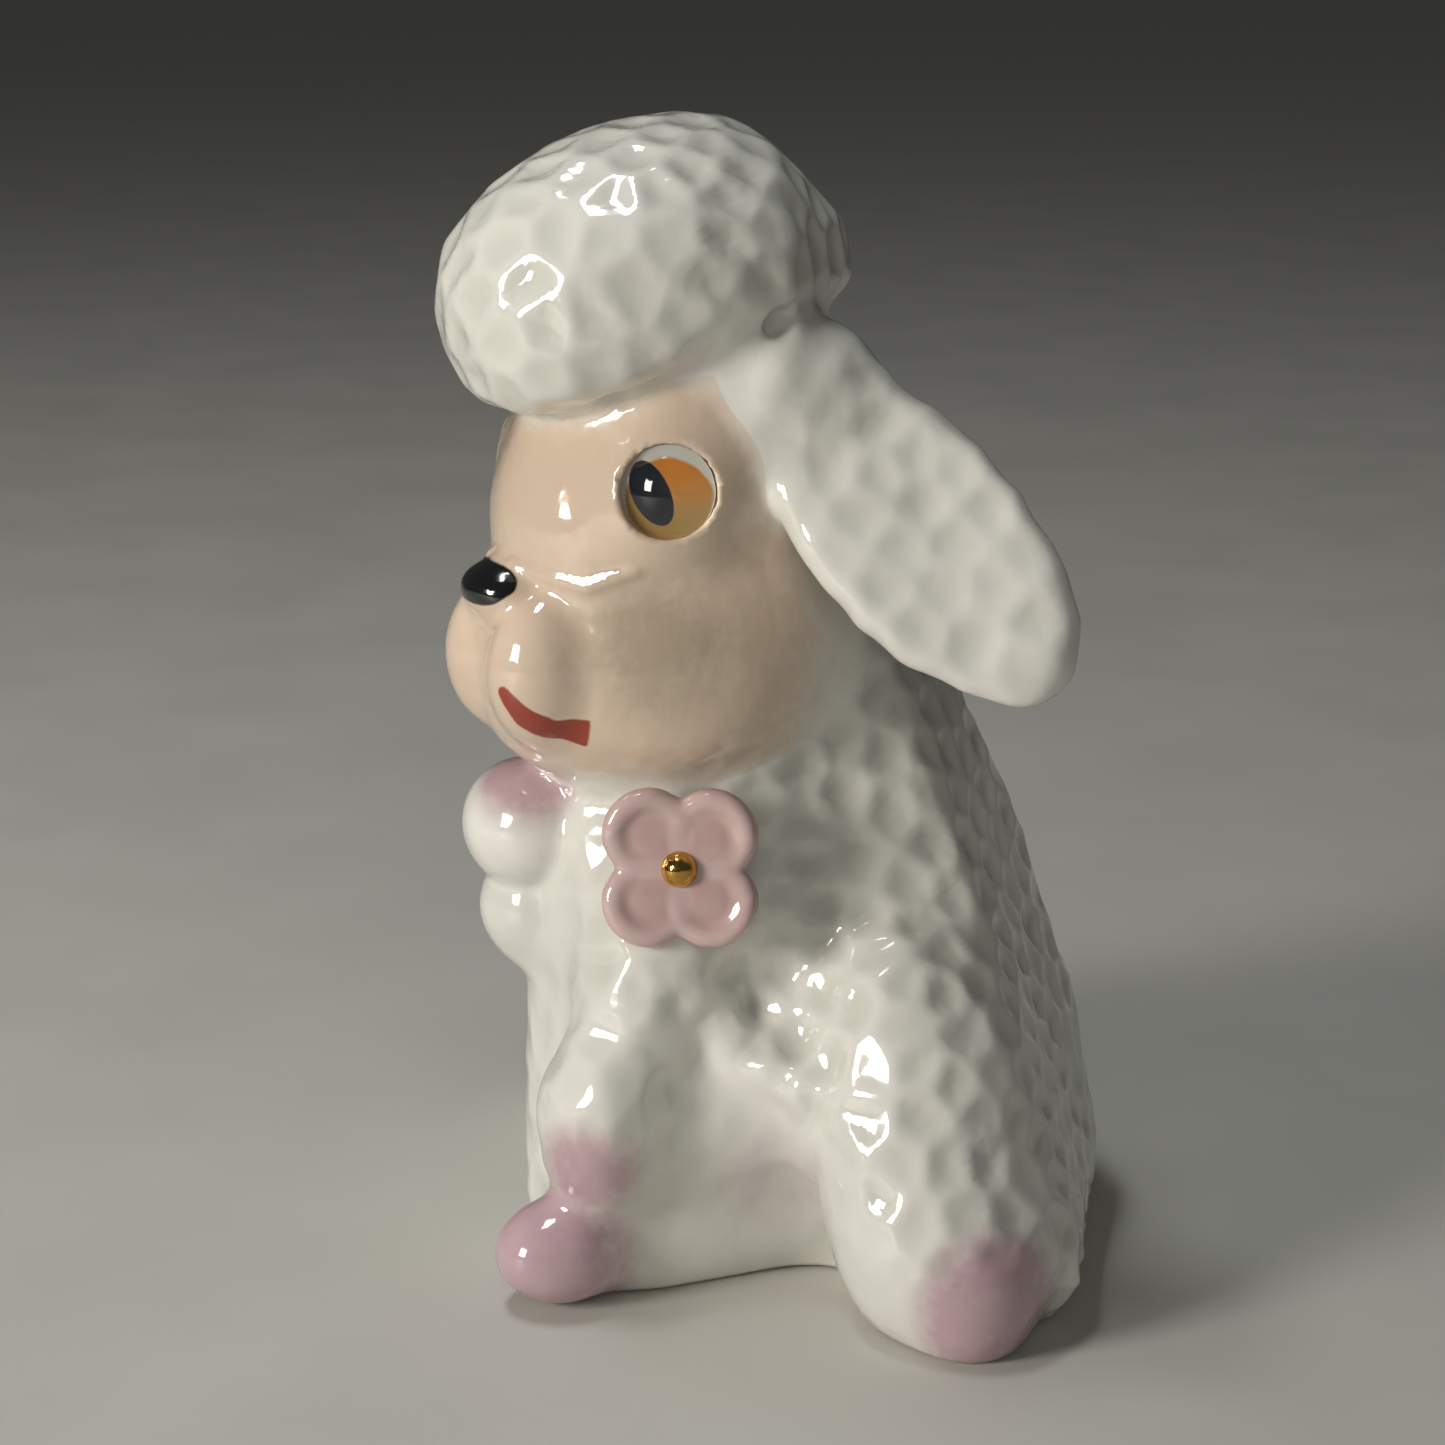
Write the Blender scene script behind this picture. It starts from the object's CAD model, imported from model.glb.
"""Seated poodle figurine in glazed ceramic: the looks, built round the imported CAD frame.

The forms are fields in millimetres, each hung from the box of its CAD node. They are
blended into one glazed surface, dimpled like modelled fur, and cut apart along the
lines where the pieces are luted together.
"""

import bpy
import numpy as np
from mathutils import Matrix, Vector, kdtree


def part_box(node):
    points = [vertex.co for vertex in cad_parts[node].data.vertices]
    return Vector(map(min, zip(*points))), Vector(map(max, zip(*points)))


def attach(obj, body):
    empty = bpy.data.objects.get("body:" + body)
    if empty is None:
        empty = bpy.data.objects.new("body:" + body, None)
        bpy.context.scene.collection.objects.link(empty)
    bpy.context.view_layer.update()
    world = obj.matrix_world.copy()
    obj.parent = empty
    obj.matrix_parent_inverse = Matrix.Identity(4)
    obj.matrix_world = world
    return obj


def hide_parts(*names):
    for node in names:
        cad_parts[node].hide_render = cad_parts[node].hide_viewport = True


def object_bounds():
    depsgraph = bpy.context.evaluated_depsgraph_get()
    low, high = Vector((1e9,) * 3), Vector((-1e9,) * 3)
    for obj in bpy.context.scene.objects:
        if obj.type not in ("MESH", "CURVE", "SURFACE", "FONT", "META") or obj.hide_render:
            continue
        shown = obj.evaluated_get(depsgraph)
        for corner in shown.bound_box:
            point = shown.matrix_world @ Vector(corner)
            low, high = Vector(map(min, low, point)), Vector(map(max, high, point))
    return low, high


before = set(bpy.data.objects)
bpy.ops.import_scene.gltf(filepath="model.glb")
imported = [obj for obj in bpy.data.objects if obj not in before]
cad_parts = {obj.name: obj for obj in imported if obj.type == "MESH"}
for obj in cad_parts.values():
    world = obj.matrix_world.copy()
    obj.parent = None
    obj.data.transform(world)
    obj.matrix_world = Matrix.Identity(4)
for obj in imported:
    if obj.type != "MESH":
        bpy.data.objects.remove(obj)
cad_low, cad_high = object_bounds()

# lengths are in mm and angles in degrees, but Blender's own values are in metres
STEP = 0.5          # spacing of the body's mesh
MARGINS = (3.1, 3.3)                       # of its grid, below and above the CAD box
FLOWER_STEP = 0.18
FUR_PITCH = 4.9                            # from one dimple to the next
FUR_DEPTH = 0.68
SEED_TRIES = 25000                         # points tried as the middles of dimples
SIDES = {1: "left", -1: "right"}           # sign of X, and the dog's own side
SEAT_ANGLES = {"eye": (50, 5), "flower": (60, 8)}   # turn from straight ahead, and rise
TORSO_HALF = 35.0                          # half the torso's height
SOCKET_RADIUS = 4.44
SOCKET_DEPTH = 1.6                         # below the middle of the lens
VENT_RADIUS = 3.0
VENT_DEPTH = 12


# ---- places taken from the CAD frame ---------------------------------------
def spot(node, x=0, y=0, z=0):
    """A point in mm, offset from the middle of a CAD node's box."""
    low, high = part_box(node)
    return np.array((low + high) / 2 * 1000) + (x, y, z)


def unit(vector):
    vector = np.asarray(vector, float)
    return vector / np.linalg.norm(vector)


def axes_about(z, hint=(0, 0, 1)):
    """Rows x, y, z of a right-handed set of axes whose z is given."""
    z = unit(z)
    if abs(z @ unit(hint)) > 0.95:
        hint = (0, 1, 0)
    x = unit(np.cross(hint, z))
    return np.stack([x, np.cross(z, x), z])


def outward(kind, side=1):
    """The direction in which an eye or the flower faces."""
    turn, rise = np.radians(SEAT_ANGLES[kind])
    return np.array((side * np.sin(turn) * np.cos(rise), -np.cos(turn) * np.cos(rise), np.sin(rise)))


# ---- fields: negative inside, in mm ------------------------------------------
def ball(p, centre, radii, axes=None):
    """An ellipsoid."""
    q = p - np.asarray(centre, np.float32)
    if axes is not None:
        q = q @ np.asarray(axes, np.float32).T
    radii = np.asarray(radii, np.float32)
    near = np.linalg.norm(q / radii, axis=-1)
    return near * (near - 1) / np.maximum(np.linalg.norm(q / radii ** 2, axis=-1), 1e-6)


def limb(p, start, end, start_radius, end_radius):
    """A round-ended bar that tapers from one radius to the other."""
    start, end = np.asarray(start, np.float32), np.asarray(end, np.float32)
    along = end - start
    t = np.clip((p - start) @ along / (along @ along), 0, 1)
    radius = start_radius + (end_radius - start_radius) * t
    return np.linalg.norm(p - start - t[:, None] * along, axis=-1) - radius


def ridge_along(p, line, radius):
    """A thin raised roll of clay through the points of a line."""
    return np.min([limb(p, a, b, radius, radius) for a, b in zip(line, line[1:])], 0)


def join(a, b, blend):
    """Two fields as one, with a fillet where they meet."""
    near = np.maximum(blend - np.abs(a - b), 0) / blend
    return np.minimum(a, b) - near * near * blend / 4


def cut(a, b, blend):
    """The overlap of two fields, with its edge rounded."""
    return -join(-a, -b, blend)


def ramp(value, start, end):
    """A smooth rise from 0 at start to 1 at end."""
    t = np.clip((value - start) / (end - start), 0, 1)
    return t * t * (3 - 2 * t)


# middles of the forms: torso, standing and raised foreleg, head, topknot and so on
T, S, R = spot("torso"), spot("standing_foreleg"), spot("raised_foreleg")
H = spot("head", 0, 0, -3.1)
K = spot("topknot", 0, 0, -0.4)
EAR = {s: spot(f"{word}_ear", s * -0.2, -0.6, 1.2) for s, word in SIDES.items()}
TAIL = spot("tail", 0, -2.7, 0)
EYE = {s: spot(f"{word}_eye_lens", s * -0.44, 0.29, -0.03) for s, word in SIDES.items()}
FLOWER = spot("flower_pad", 0.81, -0.50, 0.10)
BASE = T[2] - TORSO_HALF

# body outline: height above the base, half width, depth ahead and behind, Y of the parting ridge
BODY_ROWS = np.array([
    (-6, 32.0, 14, 16.0, 7.4), (1, 37.5, 15, 19.5, 9.4), (5, 40.2, 16, 21.0, 10),
    (9, 38.8, 18, 21.4, 10.2), (20.4, 32.4, 22, 20.6, 10.2), (39, 22.6, 25, 17.0, 8.2),
    (57.6, 14.3, 24, 12.0, 5.6), (66, 11.0, 20, 9.0, 3.6)])
# rolls of clay: over the muzzle, from H, and along the coat's edge above the web, from T
WRINKLE = [(2.5, -18, 3), (7, -15.8, 2.2), (10, -14, 1.7), (13.5, -10.5, 3.7)]
WRINKLE_RADIUS = 0.38
SWAG = [(13.5, -24, -3.5), (14, -21, -1.5), (14.5, -17, -5), (16.5, -14.5, -10), (22.5, -11, -12)]
SWAG_RADIUS = 1.4


def torso_field(p):
    x, y, z = (p - T).T
    height = z + TORSO_HALF
    width, ahead, behind, ridge = (np.interp(height, BODY_ROWS[:, 0], row) for row in BODY_ROWS.T[1:])
    y = y - ridge
    reach = np.where(y < 0, (np.maximum(-y, 0) / ahead) ** 1.55, (np.maximum(y, 0) / behind) ** 1.15)
    across = (np.abs(x) / width) ** 2 + reach
    f = (across ** (1 / 1.8) - 1) * np.minimum(width, np.minimum(ahead, behind)) * 0.8
    f = cut(f, z - 28, 8)
    for s in SIDES:     # haunch and hind foot
        thigh = axes_about((s * 0.35, -0.1, -0.9))
        toes = axes_about((s * 0.8, -0.6, 0))
        f = join(f, ball(p, T + (s * 27.5, -0.8, -17), (10.8, 10, 19), thigh), 6)
        f = join(f, ball(p, T + (s * 33.5, -1.0, -27), (9, 9, 9)), 5)
        f = join(f, ball(p, T + (s * 38, -1.2, -29.6), (5.6, 7.4, 5.8), toes), 3)
    f = join(f, ball(p, T + (0, -12.4, 3), (14, 15, 20)), 6)    # chest
    f = join(f, ball(p, T + (0, -9.4, 17), (13, 12, 12)), 5)    # neck
    # the web from the standing foreleg to the haunch
    f = join(f, limb(p, T + (-3, -19.0, 0), T + (-3, -19.4, -30), 8.6, 8.6), 3)
    f = join(f, limb(p, T + (5, -20, -30), T + (7, -6, -28), 9.5, 10), 4)
    f = join(f, limb(p, T + (8.0, -18.0, -18), T + (12.5, -5, -14), 9, 9.5), 6)
    # the parting ridge, a crease between the front and the back of the mould
    return cut(f, (np.abs(x) / width - 1 + y / behind / 1.4) * width * 0.7, 0.9)


def head_field(p):
    f = ball(p, H + (0, 2.85, -0.98), (17.5, 20, 18.5))
    f = join(f, ball(p, H + (0, 3.0, 14.0), (17.8, 17.5, 15)), 4)       # crown
    f = join(f, ball(p, H + (0, -0.5, -8.5), (17.5, 17, 13.5)), 4)      # cheeks
    f = join(f, ball(p, H + (0, -3.8, 6.6), (14.5, 14.0, 13)), 3)       # forehead
    f = join(f, ball(p, H + (0, -12.0, -6.7), (10.0, 8.2, 8.8)), 2)     # muzzle
    f = join(f, ball(p, H + (0, -10.2, -11.6), (9.5, 8.5, 7)), 4)       # chin
    for s in SIDES:     # upper lip, and brow
        f = join(f, ball(p, H + (s * 4.9, -15.5, -7.2), (5.4, 6.2, 7.8)), 1.2)
        f = join(f, ball(p, H + (s * 11.2, -5.2, 9.8), (6.6, 7.6, 7.6)), 3)
    f = join(f, limb(p, H + (0, -7.65, 1), H + (0, -17.2, -0.6), 4.6, 3.3), 2.2)    # bridge
    f = join(f, ball(p, H + (0, -18.6, 0.3), (4.5, 3.3, 2.4)), 2.0)                 # tip of the nose
    for s in SIDES:
        f = join(f, ridge_along(p, [H + (s * x, y, z) for x, y, z in WRINKLE], WRINKLE_RADIUS), 0.9)
    return f


def sockets(p):
    """The cylinders in which the glass eyes sit."""
    f = np.full(len(p), 1e3, np.float32)
    for s in SIDES:
        q = p - EYE[s]
        height = q @ outward("eye", s)
        radius = np.sqrt(np.maximum((q * q).sum(1) - height ** 2, 0))
        f = np.minimum(f, np.maximum(radius - SOCKET_RADIUS, -SOCKET_DEPTH - height))
    return f


def topknot_field(p):
    f = ball(p, K, (18, 19.6, 14.2), axes_about((0, -0.2, 1)))
    f = join(f, ball(p, K + (0, -7.2, -3.5), (14, 12.5, 13)), 4)
    x, y, z = (p - K).T
    f = cut(f, np.minimum(-14.5 + 0.5 * (y + 15.5), -4.5) - z, 6)     # underside, higher at the back
    f = join(f, ball(p, K + (0, 3.5, 0), (17.6, 17, 13.8)), 2)
    across = np.hypot(x / 17.4, (z - 1) / 15.0)
    behind = (y - 6.2) / 22             # from the mould's parting ridge
    return cut(f, (across - 1 + behind + 0.3 * np.maximum(behind, 0) ** 2) * 13, 0.4)


def ear_field(p, s):
    fall = unit((s * 21, 17, -26))
    face = unit((s * 0.89, -0.37, 0.27))
    face = unit(face - (face @ fall) * fall)
    q = (p - EAR[s]) @ np.stack([fall, np.cross(face, fall), face]).T.astype(np.float32)
    f = ball(q, (0, 0, 0), (20.0, 9.9, 4.4))
    f = cut(f, q[:, 2] - 2.2, 0.6)      # flat outer face
    return join(f, ball(p, EAR[s] + (-s * 11.3, -7.2, 12.6), (6.5, 8.5, 7)), 4)


def standing_field(p):
    f = limb(p, S + (-1, 7.2, 17.5), S + (0.8, 0.2, -6.2), 6.6, 5.4)
    f = join(f, ball(p, S + (0.8, 0.2, -1.2), (7.0, 6.4, 8.5)), 2)
    return join(f, ball(p, S + (0, -4.0, -14.8), (5.8, 7.0, 5.2)), 3)


def raised_field(p):
    f = ball(p, R + (0.8, 1.6, -3.4), (6.0, 6.0, 6.4))
    f = join(f, limb(p, R + (0.5, 1.6, -4.0), R + (2.2, 3.2, -10), 5.0, 3.4), 3)
    return join(f, ball(p, R + (1.2, 0.3, 5.25), (7.4, 7, 6.8)), 1.0)


def tail_field(p):
    return ball(p, TAIL, (5.6, 5.6, 5.6))


PIECES = {
    "poodle_topknot": topknot_field,
    "poodle_left_ear": lambda p: ear_field(p, 1),
    "poodle_right_ear": lambda p: ear_field(p, -1),
    "poodle_raised_foreleg": raised_field,
    "poodle_standing_foreleg": standing_field,
    "poodle_tail": tail_field,
    "poodle_head": head_field,
    "poodle_torso": torso_field,
}
BLENDS = {
    "poodle_topknot": 2.2, "poodle_left_ear": 1.5, "poodle_right_ear": 1.5,
    "poodle_raised_foreleg": 1.2, "poodle_standing_foreleg": 4.0, "poodle_tail": 1.5,
    "poodle_torso": 2.5}


def poodle(p):
    """The whole ceramic body, with its eye sockets, flat foot and vent."""
    f = head_field(p)
    for name, blend in reversed(BLENDS.items()):
        if name == "poodle_torso":      # a softer blend at the nape
            blend = blend + 5 * ramp(p[:, 1] - H[1], 6, 15)
        f = join(f, PIECES[name](p), blend)
    f = join(f, ridge_along(p, [T + point for point in SWAG], SWAG_RADIUS), 3.0)
    f = cut(f, -sockets(p), 0.4)
    f = cut(f, -ball(p, K + (16.6, 5.0, -2.9), (1.5, 1.5, 1.5)), 1.2)     # pit beside the topknot
    f = cut(f, BASE - p[:, 2], 0.8)
    vent = np.hypot(p[:, 0] - T[0], p[:, 1] - T[1] - 7.6) - VENT_RADIUS
    return cut(f, -np.maximum(vent, p[:, 2] - BASE - VENT_DEPTH), 0.5)


# ---- from a field to a mesh --------------------------------------------------
def grid_points(*axes):
    """Every combination of three lists of coordinates."""
    return np.stack(np.meshgrid(*axes, indexing="ij"), -1).reshape(-1, 3).astype(np.float32)


def sampled(field, low, high, step, block=4):
    """Corner positions and field values on a grid, exact near the surface."""
    size = step * block
    count = np.ceil((high - low) / size).astype(int)
    middles = grid_points(*[low[k] + size * (np.arange(count[k]) + 0.5) for k in range(3)])
    rough = field(middles)
    near = np.flatnonzero(np.abs(rough) < size * 1.5)
    fine = step * (np.arange(block) + 0.5) - size / 2
    offsets = grid_points(fine, fine, fine)
    values = np.repeat(rough[:, None], block ** 3, axis=1)
    for part in np.array_split(near, max(1, len(near) // 2000)):
        values[part] = field((middles[part, None] + offsets).reshape(-1, 3)).reshape(len(part), -1)
    values = values.reshape(*count, block, block, block).transpose(0, 3, 1, 4, 2, 5)
    return low + step / 2, values.reshape(count * block)


def surface_net(field, low, high, step):
    """Vertices and quads of the field's zero surface."""
    origin, grid = sampled(field, low, high, step)
    inside = grid < 0
    cells = [n - 1 for n in grid.shape]
    corners = [(i, j, k) for i in (0, 1) for j in (0, 1) for k in (0, 1)]
    total = sum(inside[i:i + cells[0], j:j + cells[1], k:k + cells[2]].astype(np.uint8)
                for i, j, k in corners)
    active = (total > 0) & (total < 8)
    index = np.argwhere(active)
    number = np.zeros(active.shape, int)
    number[active] = np.arange(len(index))
    value = {c: grid[tuple((index + c).T)] for c in corners}
    place, hits = np.zeros((len(index), 3)), np.zeros(len(index))
    for a in corners:
        for axis in range(3):
            if a[axis] == 0:
                b = tuple(1 if k == axis else a[k] for k in range(3))
                crosses = (value[a] < 0) != (value[b] < 0)
                t = np.where(crosses, value[a] / np.where(crosses, value[a] - value[b], 1), 0)
                place += crosses[:, None] * (np.array(a) + t[:, None] * np.eye(3)[axis])
                hits += crosses
    quads = []
    for axis in range(3):
        u, v = np.eye(3, dtype=int)[(axis + 1) % 3], np.eye(3, dtype=int)[(axis + 2) % 3]
        ahead = np.roll(inside, -1, axis) != inside
        for k in range(3):
            edge = [slice(None)] * 3
            edge[k] = slice(-1, None)
            ahead[tuple(edge)] = False
            if k != axis:
                edge[k] = slice(0, 1)
                ahead[tuple(edge)] = False
        edges = np.argwhere(ahead)
        quad = np.stack([number[tuple((edges - o).T)] for o in (u + v, v, 0 * u, u)], 1)
        flip = ~inside[tuple(edges.T)]
        quad[flip] = quad[flip][:, ::-1]
        quads.append(quad)
    return origin + step * (index + place / hits[:, None]), np.concatenate(quads)


def slope(field, points, h=0.04):
    points = points.astype(np.float32)
    rows = [field(points + d) - field(points - d) for d in np.eye(3, dtype=np.float32) * h]
    return np.stack(rows, 1) / (2 * h)


def settle(field, points, rounds):
    """Move points onto the field's surface."""
    for _ in range(rounds):
        gradient = slope(field, points)
        size = (gradient ** 2).sum(1)
        move = field(points.astype(np.float32)) / np.maximum(size, 0.05)
        points = points - gradient * np.clip(move, -0.4, 0.4)[:, None]
    return points


def spread(values, faces, rounds, share=1.0):
    """Average values over neighbouring vertices."""
    a = np.concatenate([faces[:, k] for k in range(faces.shape[1])])
    b = np.concatenate([np.roll(faces, -1, 1)[:, k] for k in range(faces.shape[1])])
    a, b = np.concatenate([a, b]), np.concatenate([b, a])
    count = np.bincount(a, minlength=len(values))
    values = values.reshape(len(values), -1)
    for _ in range(rounds):
        sums = [np.bincount(a, column[b], len(values)) for column in values.T]
        values = values + share * (np.stack(sums, 1) / count[:, None] - values)
    return values


def triangles(points, quads):
    """Split each quad along its shorter diagonal."""
    a, b, c, d = quads.T
    ac, bd = (np.linalg.norm(points[u] - points[v], axis=1) for u, v in ((a, c), (b, d)))
    short = (ac < bd)[:, None]
    first = np.where(short, np.stack([a, b, c], 1), np.stack([a, b, d], 1))
    second = np.where(short, np.stack([a, c, d], 1), np.stack([b, c, d], 1))
    return np.concatenate([first, second])


def vertex_normals(points, faces):
    a, b, c = (points[faces[:, k]] for k in range(3))
    face_normal = np.cross(b - a, c - a)
    normal = np.stack([np.bincount(faces.ravel(), np.repeat(face_normal[:, k], 3), len(points))
                       for k in range(3)], 1)
    return normal / np.maximum(np.linalg.norm(normal, axis=1), 1e-9)[:, None]


def glazed_surface(field, low, high, step):
    points, quads = surface_net(field, low, high, step)
    points = settle(field, points, 2)
    for _ in range(2):
        points = settle(field, spread(points, quads, 1, 0.6), 1)
    return points, triangles(points, quads)


def split(rows, faces, side):
    """Cut triangles along side = 0. Returns the rows with the seam added, and both sets of faces."""
    side = np.where(np.abs(side) < 0.02, 0.02, side)     # no slivers along the seam
    negative = side[faces] < 0
    count = negative.sum(1)
    inner, outer, mixed = faces[count == 3], faces[count == 0], faces[(count == 1) | (count == 2)]
    if not len(mixed):
        return rows, inner, outer
    lone_is_negative = (side[mixed] < 0).sum(1) == 1
    lone = np.argmax((side[mixed] < 0) == lone_is_negative[:, None], axis=1)
    a, b, c = (np.take_along_axis(mixed, (lone[:, None] + k) % 3, 1)[:, 0] for k in range(3))
    pairs = np.sort(np.concatenate([np.stack([a, b], 1), np.stack([a, c], 1)]), 1)
    edges, where = np.unique(pairs, axis=0, return_inverse=True)
    where = where.ravel()
    t = side[edges[:, 0]] / (side[edges[:, 0]] - side[edges[:, 1]])
    seam = rows[edges[:, 0]] * (1 - t)[:, None] + rows[edges[:, 1]] * t[:, None]
    ab, ac = len(rows) + where[:len(a)], len(rows) + where[len(a):]
    corner = np.stack([a, ab, ac], 1)
    rest = np.concatenate([np.stack([ab, b, c], 1), np.stack([ab, c, ac], 1)])
    twice = np.concatenate([lone_is_negative, lone_is_negative])
    inner = np.concatenate([inner, corner[lone_is_negative], rest[~twice]])
    outer = np.concatenate([outer, corner[~lone_is_negative], rest[twice]])
    return np.concatenate([rows, seam]), inner, outer


def closed(rows, faces):
    """One piece's rows and faces, with each open loop capped where it is luted on."""
    used, faces = np.unique(faces, return_inverse=True)
    rows, faces = rows[used], faces.reshape(-1, 3)
    edges = np.concatenate([faces[:, [0, 1]], faces[:, [1, 2]], faces[:, [2, 0]]])
    there = set(map(tuple, edges.tolist()))
    follow = {}
    for a, b in sorted(there):
        if (b, a) not in there:
            follow.setdefault(b, []).append(a)
    caps, middles = [], []
    while follow:
        loop = [next(iter(follow))]
        while len(loop) == 1 or loop[-1] != loop[0]:
            ways = follow[loop[-1]]
            loop.append(ways.pop())
            if not ways:
                del follow[loop[-2]]
        loop.pop()
        hub = len(rows) + len(middles)
        middles.append(rows[loop].mean(0))
        caps += [(a, b, hub) for a, b in zip(loop, loop[1:] + loop[:1])]
    if middles:
        rows = np.concatenate([rows, middles])
        faces = np.concatenate([faces, caps])
    return rows, faces, len(faces) - len(caps)


def placed(name, data):
    """A new object in the scene."""
    thing = bpy.data.objects.new(name, data)
    bpy.context.scene.collection.objects.link(thing)
    return thing


def smooth_mesh(name, points, faces, mat):
    """A smooth-shaded mesh in metres from points in mm."""
    mesh = bpy.data.meshes.new(name)
    mesh.from_pydata((points / 1000).tolist(), [], faces)
    mesh.materials.append(mat)
    mesh.polygons.foreach_set("use_smooth", [True] * len(mesh.polygons))
    return mesh


def luted_pieces(rows, faces, distances):
    """Cut a surface apart where its distances to the pieces cross, and yield each closed piece.

    A row holds a point, its normal and any masks.
    """
    first = rows.shape[1]
    rows = np.concatenate([rows, distances], 1)
    for k in range(first, rows.shape[1] - 1):
        rows, mine, faces = split(rows, faces, rows[:, k] - rows[:, k + 1:].min(1))
        yield closed(rows, mine)
    yield closed(rows, faces)


def new_piece(name, rows, faces, open_count, mat, masks):
    """An object from a closed piece, smooth but for its caps, with its masks as attributes."""
    points, normals = rows[:, :3], rows[:, 3:6]
    mesh = smooth_mesh(name, points, faces.tolist(), mat)
    for k, key in enumerate(masks):
        values = rows[:, 6 + k].astype(np.float32)
        mesh.attributes.new(key, "FLOAT", "POINT").data.foreach_set("value", values)
    corners = normals[faces]
    a, b, c = (points[faces[:, k]] for k in range(3))
    flat = np.cross(b - a, c - a)
    flat /= np.maximum(np.linalg.norm(flat, axis=1), 1e-12)[:, None]
    corners[open_count:] = flat[open_count:, None]
    mesh.normals_split_custom_set(corners.reshape(-1, 3).tolist())
    return placed(name, mesh)


# ---- fur and paint over the surface ------------------------------------------
def smooth_waves(p, scale, seed):
    """A gentle unevenness between -1 and 1."""
    rng = np.random.RandomState(seed)
    waves = rng.normal(size=(6, 3))
    waves *= (2 * np.pi / scale) / np.linalg.norm(waves, axis=1)[:, None]
    return np.sin(p @ waves.T + rng.uniform(0, 6.28, 6)).sum(1) / 3.2


# heights are above the base
HEM = np.array([(-26, 38), (-17, 32), (-15, 25), (-12, 22), (-8, 6), (-6, -12)])    # Y from T, and height
LEG_FUR = np.array([(8, 0), (12, 0.3), (24, 0.6), (34, 0.95), (46, 0.95)])          # height, and amount


def ear_root(p, s, thickness):
    """The smooth place where an ear leaves the head."""
    return ball(p, H + (s * 18, 0, 22.5), (5, 9, thickness))


def fur_amount(p, nearest):
    """How much fur is modelled at each point: none on the face, the paws and below the coat's hem."""
    x, y, z = (p - T).T
    z = z + TORSO_HALF      # above the base
    web = ramp(z - np.interp(y, HEM[:, 0], HEM[:, 1]), -0.7, 0.7)
    web *= 1 - (1 - ramp(x, 17, 20)) * (1 - ramp(z, 15, 20))
    web = np.maximum(web, 0.22 * ramp(z, 6, 10))    # faint curls below the hem
    web = np.where((x > 1) & (y < 0), web, 1)       # only at the left front
    chest = 1 - 0.5 * ramp(-y, 10, 14) * ramp(9 - x, 0, 5)
    torso = web * chest
    for s in SIDES:     # bare hind feet
        torso = torso * ramp(ball(p, T + (s * 40, -1.5, -31), (7, 7.5, 7.5)), -1, 1.5)
    amounts = {
        "poodle_torso": torso * ramp(z, 1, 3),
        "poodle_head": ramp(p[:, 1] - H[1], 10, 15) * 0.8,
        "poodle_standing_foreleg": np.interp(z, LEG_FUR[:, 0], LEG_FUR[:, 1]),
        "poodle_raised_foreleg": 0.12, "poodle_left_ear": 0.6, "poodle_right_ear": 0.6}
    fur = np.ones(len(p))
    for k, name in enumerate(PIECES):
        fur = np.where(nearest == k, amounts.get(name, 1.0), fur)
    for s in SIDES:
        fur = fur * ramp(ear_root(p, s, 5), -1, 2.5)
    return fur


def tree_of(points):
    tree = kdtree.KDTree(len(points))
    for k, point in enumerate(points.tolist()):
        tree.insert(point, k)
    tree.balance()
    return tree


def dimples(p, faces, fur):
    """Depth of the modelled curls below the ridges between them."""
    rng = np.random.RandomState(7)
    order = rng.permutation(len(p))[:SEED_TRIES]
    gap = FUR_PITCH * 0.78              # the least from one seed to the next
    cells, seeds = {}, []
    around = [(i, j, k) for i in (-1, 0, 1) for j in (-1, 0, 1) for k in (-1, 0, 1)]
    for point in p[order].tolist():
        cell = tuple(int(c // gap) for c in point)
        others = (other for way in around for other in cells.get(tuple(map(sum, zip(cell, way))), ()))
        if all(sum((u - v) ** 2 for u, v in zip(point, other)) > gap * gap for other in others):
            cells.setdefault(cell, []).append(point)
            seeds.append(point)
    tree = tree_of(np.array(seeds))
    owner = np.array([tree.find(co)[1] for co in p.tolist()])
    count = np.maximum(np.bincount(owner, minlength=len(seeds)), 1)[:, None]
    seeds = np.stack([np.bincount(owner, p[:, k], len(seeds)) for k in range(3)], 1) / count
    tree = tree_of(seeds)               # each seed is now amid its own points
    deep = rng.uniform(0.55, 1.25, len(seeds))
    depth = np.zeros(len(p))
    for k in np.flatnonzero(fur > 0.01):
        (_, first, near), (_, _, far) = tree.find_n(p[k], 2)
        t = min((far - near) / (0.8 * FUR_PITCH), 1)
        depth[k] = deep[first] * t * (1.6 - 0.6 * t) * (0.35 + 0.65 * min(t * 2.5, 1))
    return spread(depth, faces, 6, 0.6)[:, 0]


SMILE = [(6.8, -21.0, -8.4, 0.7), (8.0, -19.6, -10.6, 1.2), (9.2, -17.5, -12.2, 1.45),
         (11.0, -13.6, -12.7, 1.5)]     # place from H, and half width
SMILE_END = 14.2                        # ahead of H


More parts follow.
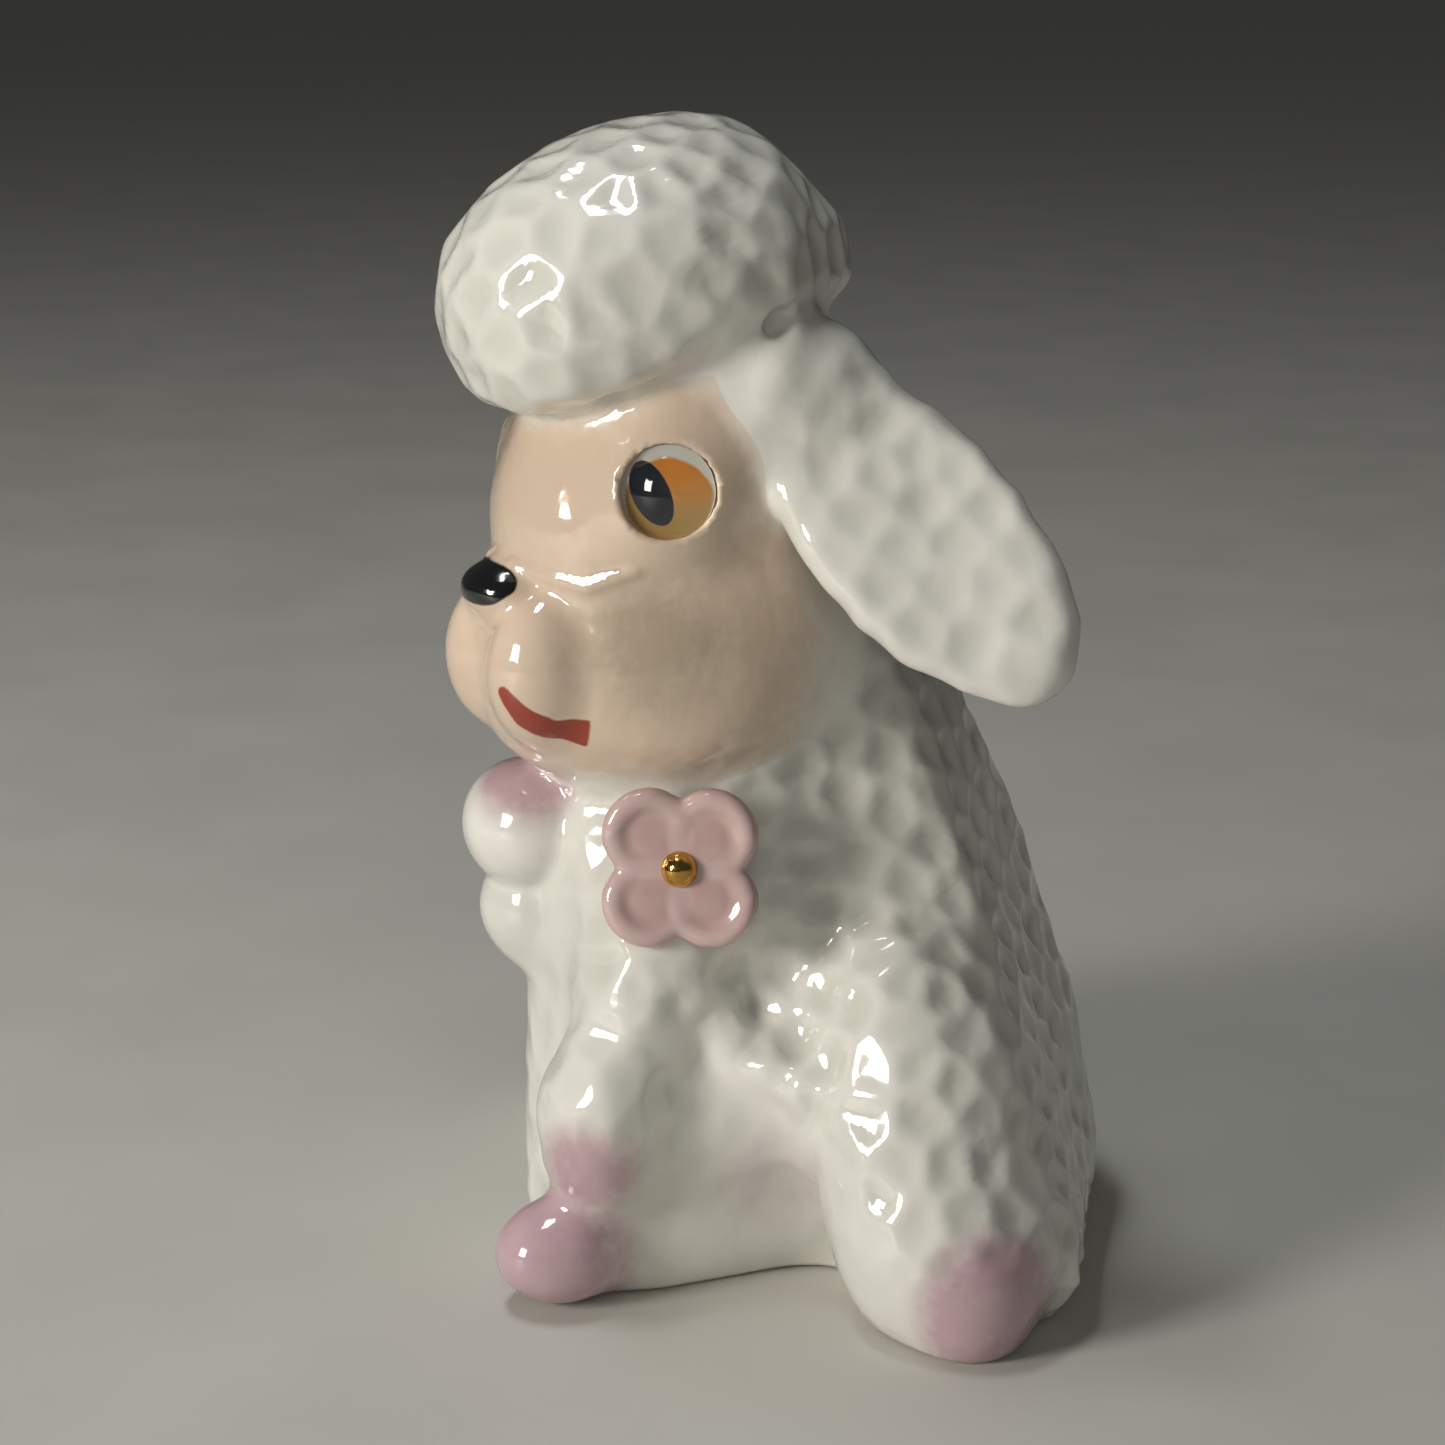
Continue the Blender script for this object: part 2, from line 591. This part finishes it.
def paint_masks(p, nearest, pool):
    """Where each colour is painted. The crisp ones are distances, positive inside the patch."""
    y, z = (p - H).T[1:]
    face = (nearest == list(PIECES).index("poodle_head")) * (1 - ramp(y, 1, 13)) * ramp(z, -21, -14)
    lips = np.full(len(p), -9.0)
    for s in SIDES:
        for (x1, y1, z1, r1), (x2, y2, z2, r2) in zip(SMILE, SMILE[1:]):
            lips = np.maximum(lips, -limb(p, H + (s * x1, y1, z1), H + (s * x2, y2, z2), r1, r2))
    paws = [(S + (0, -6, -15), (8.5, 8.5, 8)), (S + (5, -4.3, -5), (5, 5, 4.5)),
            (R + (4, -1.5, 10.5), (5.5, 4.5, 4))]
    paws += [(T + (s * 43, -2, -29.5), (6.2, 7, 7.8)) for s in SIDES]
    shade = np.min([ball(p, H + (s * 15, -10, -3.5), (5, 6.5, 5.5)) for s in SIDES], 0)
    return {
        "peach": face,
        "dusk": (1 - ramp(shade, -5, 7)) * face,
        "nose": -ball(p, H + (0, -21.2, 1.2), (5.4, 4.6, 2.2)),
        "lips": np.minimum(lips, -SMILE_END - y),
        "mauve": np.max([1 - ramp(ball(p, centre, radii), -3.0, 3.5) for centre, radii in paws], 0),
        "blush": 1 - ramp(ball(p, T + (19, -10, -22.5), (4, 6, 5)), -2, 5),
        "pool": pool,
        "foot_ring": 1 - ramp(p[:, 2] - BASE, 0.15, 0.5)}


# ---- materials ---------------------------------------------------------------
class Finish:
    """A procedural material under construction, laid out in the object's own coordinates."""

    def __init__(self, name):
        self.material = bpy.data.materials.new(name)
        self.material.use_nodes = True
        self.nodes = self.material.node_tree.nodes
        self.link = self.material.node_tree.links.new
        self.shader = self.nodes["Principled BSDF"]
        self.where = self.node("TexCoord").outputs["Object"]

    def node(self, kind, **values):
        """A new shader node, with its settings and its inputs given by name."""
        node = self.nodes.new("ShaderNode" + kind)
        for key, value in values.items():
            if hasattr(node, key):
                setattr(node, key, value)
            else:
                node.inputs[key.replace("_", " ").title()].default_value = value
        return node

    def feed(self, socket, value):
        """Give a socket a number, an RGB colour or another node's output."""
        if isinstance(value, bpy.types.NodeSocket):
            self.link(value, socket)
        elif isinstance(value, tuple):
            socket.default_value = (*value, 1)
        else:
            socket.default_value = value

    def set(self, name, value):
        """Feed one of the shader's inputs."""
        self.feed(self.shader.inputs[name], value)

    def attribute(self, name):
        return self.node("Attribute", attribute_name=name).outputs["Fac"]

    def noise(self, scale, detail):
        node = self.node("TexNoise", scale=scale, detail=detail)
        self.link(self.where, node.inputs["Vector"])
        return node.outputs["Fac"]

    def layered(self, amount, below, above):
        """Paint `above` over `below` by an amount."""
        mix = self.node("Mix", data_type="RGBA")
        self.link(amount, mix.inputs["Factor"])
        self.feed(mix.inputs[6], below)
        self.feed(mix.inputs[7], above)
        return mix.outputs[2]

    def remapped(self, value, low, high, to_low=0.0, to_high=1.0):
        """Carry a value smoothly from one range to another."""
        node = self.node("MapRange", interpolation_type="SMOOTHSTEP",
                         from_min=low, from_max=high, to_min=to_low, to_max=to_high)
        self.link(value, node.inputs["Value"])
        return node.outputs["Result"]

    def varied(self, noise, low, high):
        """Carry the middle of a noise's range to the given one."""
        return self.remapped(noise, 0.3, 0.7, low, high)

    def combined(self, operation, *values):
        node = self.node("Math", operation=operation)
        for socket, value in zip(node.inputs, values):
            self.feed(socket, value)
        return node.outputs[0]

    def bump(self, scale, detail, strength, distance):
        """Make the surface slightly uneven."""
        node = self.node("Bump", strength=strength, distance=distance)
        self.link(self.noise(scale, detail), node.inputs["Height"])
        self.set("Normal", node.outputs["Normal"])
        return node.outputs["Normal"]


POOL_TINT = (0.80, 0.82, 0.77)
FOOT_RING = (0.62, 0.58, 0.50)          # bare clay


def glaze(name, light, dark, painted):
    """Glossy glaze over slip-cast clay, thicker and greyer where it pools between the curls."""
    finish = Finish(name)
    colour = finish.layered(finish.remapped(finish.noise(55, 3), 0.35, 0.65), light, dark)
    pooled = finish.combined("MULTIPLY", finish.attribute("pool"), 0.55)
    colour = finish.layered(pooled, colour, tuple(c * k for c, k in zip(dark, POOL_TINT)))
    speck = finish.noise(900, 3)
    soft = finish.noise(160, 3)
    for key, tint, tint_dark, strength in painted:
        mask = finish.attribute(key)
        if key in ("nose", "lips"):     # brushed, with a crisp edge
            ragged = finish.combined("MULTIPLY", finish.combined("SUBTRACT", soft, 0.5), 1.4)
            amount = finish.remapped(finish.combined("ADD", mask, ragged), -0.12, 0.12)
        else:                           # sprayed
            ragged = finish.combined("MULTIPLY_ADD", finish.combined("ADD", speck, soft), 0.7, -0.7)
            ragged = finish.combined("MULTIPLY", ragged, mask)
            amount = finish.remapped(finish.combined("ADD", mask, ragged), 0.02, 1.0, 0, strength)
        colour = finish.layered(amount, colour, finish.layered(soft, tint, tint_dark))
    bare = finish.attribute("foot_ring")
    finish.set("Base Color", finish.layered(bare, colour, FOOT_RING))
    rough = finish.varied(finish.noise(240, 3), 0.07, 0.16)
    finish.set("Roughness", finish.combined("ADD", rough, finish.combined("MULTIPLY", bare, 0.6)))
    finish.set("IOR", 1.52)
    finish.set("Coat Weight", 0.6)
    finish.set("Coat Roughness", 0.03)
    finish.set("Coat Normal", finish.bump(210, 2, 0.35, 0.0006))
    return finish.material


WHITE, WHITE_DARK = (0.80, 0.78, 0.71), (0.71, 0.70, 0.635)
PAWS = [("mauve", (0.40, 0.22, 0.27), (0.53, 0.34, 0.38), 0.85),
        ("blush", (0.66, 0.54, 0.56), (0.70, 0.60, 0.62), 0.45)]
white_glaze = glaze("white_glaze", WHITE, WHITE_DARK, PAWS)
mauve_glaze = glaze("mauve_tipped_glaze", WHITE, WHITE_DARK, PAWS)
peach_glaze = glaze("peach_glaze", WHITE, WHITE_DARK, [
    ("peach", (0.70, 0.52, 0.37), (0.63, 0.47, 0.34), 0.85),
    ("dusk", (0.33, 0.27, 0.20), (0.38, 0.31, 0.23), 0.72),
    ("lips", (0.26, 0.030, 0.012), (0.34, 0.05, 0.02), 1),
    ("nose", (0.006, 0.006, 0.007), (0.012, 0.012, 0.013), 1)])
pink_glaze = glaze("pink_glaze", (0.60, 0.42, 0.38), (0.52, 0.35, 0.33), [
    ("rim", (0.70, 0.54, 0.51), (0.62, 0.46, 0.44), 0.55)])

# ---- the ceramic body ---------------------------------------------------------
body_low, body_high = np.array([cad_low, cad_high]) * 1000
points, faces = glazed_surface(poodle, body_low - MARGINS[0], body_high + MARGINS[1], STEP)
distances = np.stack([field(points.astype(np.float32)) for field in PIECES.values()], 1)
nearest = distances.argmin(1)
fur = spread(fur_amount(points, nearest), faces, 3, 0.8)[:, 0]
normals = vertex_normals(points, faces)
depth = dimples(points, faces, fur) * fur
paint = paint_masks(points, nearest, depth)
paint["peach"] = spread(paint["peach"], faces, 40, 1.0)[:, 0]

rise = 0.25 * smooth_waves(points, 14, 3) * (0.3 + fur) - FUR_DEPTH * depth + 0.3 * fur
root = np.min([ear_root(points.astype(np.float32), s, 4) for s in SIDES], 0)
rise += 0.3 * smooth_waves(points, 5, 9) * (1 - ramp(root, -1, 2))
above_foot = ramp(points[:, 2] - BASE, 0.0, 2.0)
outside_sockets = 1 - ramp(-sockets(points.astype(np.float32)), -0.8, -0.2)
rise *= above_foot * outside_sockets
points = points + normals * rise[:, None]
normals = vertex_normals(points, faces)

PIECE_FINISH = {"poodle_head": (peach_glaze, "peach_glaze"),
                "poodle_standing_foreleg": (mauve_glaze, "mauve_tipped_glaze"),
                "poodle_raised_foreleg": (mauve_glaze, "mauve_tipped_glaze")}
rows = np.concatenate([points, normals, np.stack(list(paint.values()), 1)], 1)
for name, parts in zip(PIECES, luted_pieces(rows, faces, distances)):
    mat, slot = PIECE_FINISH.get(name, (white_glaze, "white_glaze"))
    piece = new_piece(name, *parts, mat, paint)
    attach(piece, "root")
    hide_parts(name.removeprefix("poodle_"))

# ---- flower --------------------------------------------------------------------
flower_axes = axes_about(outward("flower"))
PETAL_REACH = 4.35                      # from the flower's middle to a petal's
RIM_RADIUS = 3.3
FLOWER_BOX = (9.2, 9.2, 3.2)            # half sizes, in the flower's own axes


def petal_turn(index):
    """Unit vector from the flower's middle to that CAD petal, in the flower's plane."""
    way = (spot(f"flower_petal_{index}") - FLOWER) @ flower_axes.T
    return unit((way[0], way[1]))


TURNS = {k: petal_turn(k) for k in (1, 2, 3, 4)}


def flower(p):
    q = (p - FLOWER) @ flower_axes.T.astype(np.float32)
    f = ball(q, (0, 0, 1.0), (5.5, 5.5, 1.3))
    for turn in TURNS.values():
        x, y = q[:, 0] - turn[0] * PETAL_REACH, q[:, 1] - turn[1] * PETAL_REACH
        out = x * turn[0] + y * turn[1]
        middle = (turn[0] * PETAL_REACH, turn[1] * PETAL_REACH, 1.0)
        f = join(f, ball(q, middle, (4.1, 4.1, 1.4)), 0.8)
        rim = np.hypot(np.hypot(x, y) - RIM_RADIUS, q[:, 2] - 1.35 - 0.12 * out)
        f = join(f, rim - np.clip(0.85 + 0.12 * out, 0.3, 1.15), 1.1)
    return f


reach = np.abs(flower_axes).T @ FLOWER_BOX
points, faces = glazed_surface(flower, FLOWER - reach, FLOWER + reach, FLOWER_STEP)
q = (points - FLOWER) @ flower_axes.T
from_middles = [np.hypot(q[:, 0] - turn[0] * PETAL_REACH, q[:, 1] - turn[1] * PETAL_REACH)
                for turn in TURNS.values()]
from_rim = np.min([np.abs(far - 3.5) for far in from_middles], 0)
rim = ramp(-from_rim, -1.3, -0.1) * ramp(q[:, 2], 1.2, 2.1)     # where the pink is paler
toward = np.stack([-(q[:, :2] @ turn) for turn in TURNS.values()], 1)
rows = np.concatenate([points, vertex_normals(points, faces), rim[:, None]], 1)
for k, parts in zip(TURNS, luted_pieces(rows, faces, toward)):
    piece = new_piece(f"poodle_flower_petal_{k}", *parts, pink_glaze, ["rim"])
    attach(piece, "root")
    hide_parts(f"flower_petal_{k}")


# ---- turned pieces: the bead and the glass --------------------------------------
def turned(name, profile, centre, axes, mat, count=96):
    """A closed form from (radius, height) points, turned about the third axis."""
    angles = np.linspace(0, 2 * np.pi, count, endpoint=False)
    ring = profile[1:-1]
    points = [(0, 0, profile[0][1])]
    points += [(r * np.cos(a), r * np.sin(a), h) for r, h in ring for a in angles]
    points += [(0, 0, profile[-1][1])]
    faces = [(0, 1 + (k + 1) % count, 1 + k) for k in range(count)]
    for row in range(len(ring) - 1):
        start = 1 + row * count
        for k in range(count):
            after = (k + 1) % count
            faces.append((start + k, start + after, start + count + after, start + count + k))
    start = 1 + (len(ring) - 1) * count
    faces += [(start + k, start + (k + 1) % count, len(points) - 1) for k in range(count)]
    return placed(name, smooth_mesh(name, centre + np.array(points) @ axes, faces, mat))


gold = Finish("gold_lustre")
worn = gold.remapped(gold.noise(700, 3), 0.35, 0.65)
gold.set("Base Color", gold.layered(worn, (0.80, 0.50, 0.13), (0.62, 0.34, 0.08)))
gold.set("Roughness", gold.varied(gold.noise(900, 2), 0.10, 0.26))
gold.set("Metallic", 1.0)
gold.bump(600, 2, 0.5, 0.0004)

BEAD_RADIUS, BEAD_HEIGHT = 1.8, 1.95    # its height is from its middle
bead_profile = [(BEAD_RADIUS * np.sin(t), BEAD_HEIGHT * -np.cos(t) + BEAD_HEIGHT)
                for t in np.linspace(0, np.pi, 33)]
bead = turned("poodle_flower_bead", bead_profile, FLOWER, flower_axes, gold.material)
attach(bead, "root")
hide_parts("flower_bead")

glass = Finish("eye_glass")
glass.set("Base Color", (0.97, 0.98, 0.96))
glass.set("Transmission Weight", 1.0)
glass.set("IOR", 1.5)
glass.set("Roughness", glass.varied(glass.noise(400, 2), 0.0, 0.03))
glass.bump(260, 1, 0.15, 0.0003)
pick = glass.node("MixShader")          # clear to shadow rays, so that light reaches the iris
glass.link(glass.node("LightPath").outputs["Is Shadow Ray"], pick.inputs[0])
glass.link(glass.shader.outputs[0], pick.inputs[1])
glass.link(glass.node("BsdfTransparent").outputs[0], pick.inputs[2])
glass.link(pick.outputs[0], glass.nodes["Material Output"].inputs["Surface"])

LENS_RADIUS, LENS_EDGE, LENS_DOME = 4.38, 0.8, 2.5
dome_radius = (LENS_RADIUS ** 2 + LENS_DOME ** 2) / (2 * LENS_DOME)
widest = np.arcsin(LENS_RADIUS / dome_radius)
lens_profile = [(0, -0.04), (LENS_RADIUS - 0.15, -0.04), (LENS_RADIUS, 0.1), (LENS_RADIUS, LENS_EDGE)]
lens_profile += [(dome_radius * np.sin(t), LENS_EDGE + LENS_DOME - dome_radius * (1 - np.cos(t)))
                 for t in np.linspace(widest, 0, 22)[1:]]


def enamel(name, side):
    """Painted backing: amber that turns olive downwards, with a clear grey crescent on top."""
    finish = Finish(name)
    low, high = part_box("left_eye_iris")
    place = finish.node("SeparateXYZ")
    finish.link(finish.where, place.inputs[0])
    streak = finish.noise(420, 3)
    level = finish.remapped(place.outputs["Z"], low.z + 0.002, high.z - 0.002)
    amber = finish.layered(level, (0.22, 0.14, 0.032), (0.40, 0.13, 0.012))
    amber = finish.layered(finish.combined("MULTIPLY", streak, 0.5), amber, (0.20, 0.08, 0.01))
    away = finish.node("VectorMath", operation="DISTANCE")
    finish.link(finish.where, away.inputs[0])
    aside = side * np.cross((0, 0, 1), outward("eye", side))
    amber_middle = EYE[side] + (0, 0, -1.05) + 0.25 * aside
    away.inputs[1].default_value = tuple(amber_middle / 1000)
    edge = finish.combined("ADD", away.outputs["Value"], finish.combined("MULTIPLY", streak, 0.0004))
    crescent = finish.remapped(edge, 0.0037, 0.0041)
    finish.set("Base Color", finish.layered(crescent, amber, (0.36, 0.35, 0.31)))
    finish.set("Roughness", finish.varied(streak, 0.35, 0.6))
    finish.set("Specular IOR Level", 0.2)
    return finish.material


black = Finish("black_enamel")
brush = black.noise(500, 3)
black.set("Base Color", black.layered(brush, (0.004, 0.005, 0.008), (0.02, 0.022, 0.028)))
black.set("Roughness", black.varied(brush, 0.35, 0.55))
black.set("Specular IOR Level", 0.05)

cement = Finish("cement")
grit = cement.noise(1500, 4)
cement.set("Base Color", cement.layered(grit, (0.42, 0.40, 0.35), (0.55, 0.53, 0.47)))
cement.set("Roughness", cement.varied(grit, 0.7, 0.95))


def cover(node, mat):
    """Give a CAD node that stays in view its material."""
    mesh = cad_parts[node].data
    mesh.materials.clear()
    mesh.materials.append(mat)


for side, word in SIDES.items():
    seat = axes_about(outward("eye", side))
    lens = turned(f"poodle_{word}_eye_lens", lens_profile, EYE[side], seat, glass.material)
    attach(lens, "root")
    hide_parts(f"{word}_eye_lens")
    cover(f"{word}_eye_iris", enamel(f"amber_enamel_{word}", side))
    cover(f"{word}_eye_pupil", black.material)
    cover(f"{word}_eye_cement", cement.material)
cover("flower_pad", white_glaze)

# ---- floor, light and camera -------------------------------------------------------
paper = Finish("pale_floor")
mottle = paper.noise(30, 4)
paper.set("Base Color", paper.layered(mottle, (0.56, 0.55, 0.50), (0.62, 0.60, 0.55)))
paper.set("Roughness", paper.varied(mottle, 0.5, 0.65))
mesh = bpy.data.meshes.new("floor")
mesh.from_pydata([(-6, -6, 0), (6, -6, 0), (6, 6, 0), (-6, 6, 0)], [], [(0, 1, 2, 3)])
mesh.materials.append(paper.material)
floor = placed("floor", mesh)

VIEW_TURN, VIEW_RISE = 62, 15           # from the dog's front towards its left, and up
CAMERA_AWAY, CAMERA_ASIDE, CAMERA_HEIGHT = 0.322, -0.0075, 0.139     # metres
LAMP_TARGET = (0, 0, 0.06)              # metres
turn, tilt = np.radians(VIEW_TURN), np.radians(VIEW_RISE)
level_back = np.array((np.sin(turn), -np.cos(turn), 0))
back = level_back * np.cos(tilt) + (0, 0, np.sin(tilt))
right = np.array((np.cos(turn), np.sin(turn), 0))
up = np.cross(back, right)
lens_data = bpy.data.cameras.new("camera")
lens_data.lens = 81.5
lens_data.sensor_width = 36
lens_data.clip_start = 0.01
camera = placed("camera", lens_data)
camera.location = (0, 0.002, CAMERA_HEIGHT) + CAMERA_AWAY * level_back + CAMERA_ASIDE * right
camera.rotation_euler = Vector(-back).to_track_quat("-Z", "Y").to_euler()
bpy.context.scene.camera = camera


def lamp(name, across, upward, toward, distance, size, power, colour, mirrored=True):
    """A soft rectangular lamp placed by how far it is to the right, up and towards the camera."""
    light = bpy.data.lights.new(name, "AREA")
    light.shape = "RECTANGLE"
    light.size, light.size_y = size
    light.energy = power
    light.color = colour
    holder = placed(name, light)
    way = unit(across * right + upward * up + toward * back)
    holder.location = LAMP_TARGET + way * distance
    holder.rotation_euler = Vector(way).to_track_quat("Z", "Y").to_euler()
    holder.visible_glossy = mirrored


lamp("window", -0.80, 0.10, 0.60, 0.60, (0.16, 0.20), 2.5, (1.0, 0.97, 0.92))
lamp("overhead", -0.25, 0.93, 0.20, 0.70, (0.26, 0.10), 1.5, (0.96, 0.98, 1.0))
lamp("fill", 0.10, 0.10, 1.0, 0.90, (0.50, 0.50), 0.95, (1.0, 0.99, 0.97), mirrored=False)

world = bpy.data.worlds.new("studio")
world.use_nodes = True
sky = world.node_tree.nodes["Background"]
sky.inputs["Color"].default_value = (0.84, 0.84, 0.82, 1)
sky.inputs["Strength"].default_value = 0.055
bpy.context.scene.world = world
bpy.context.scene.view_settings.view_transform = "Standard"
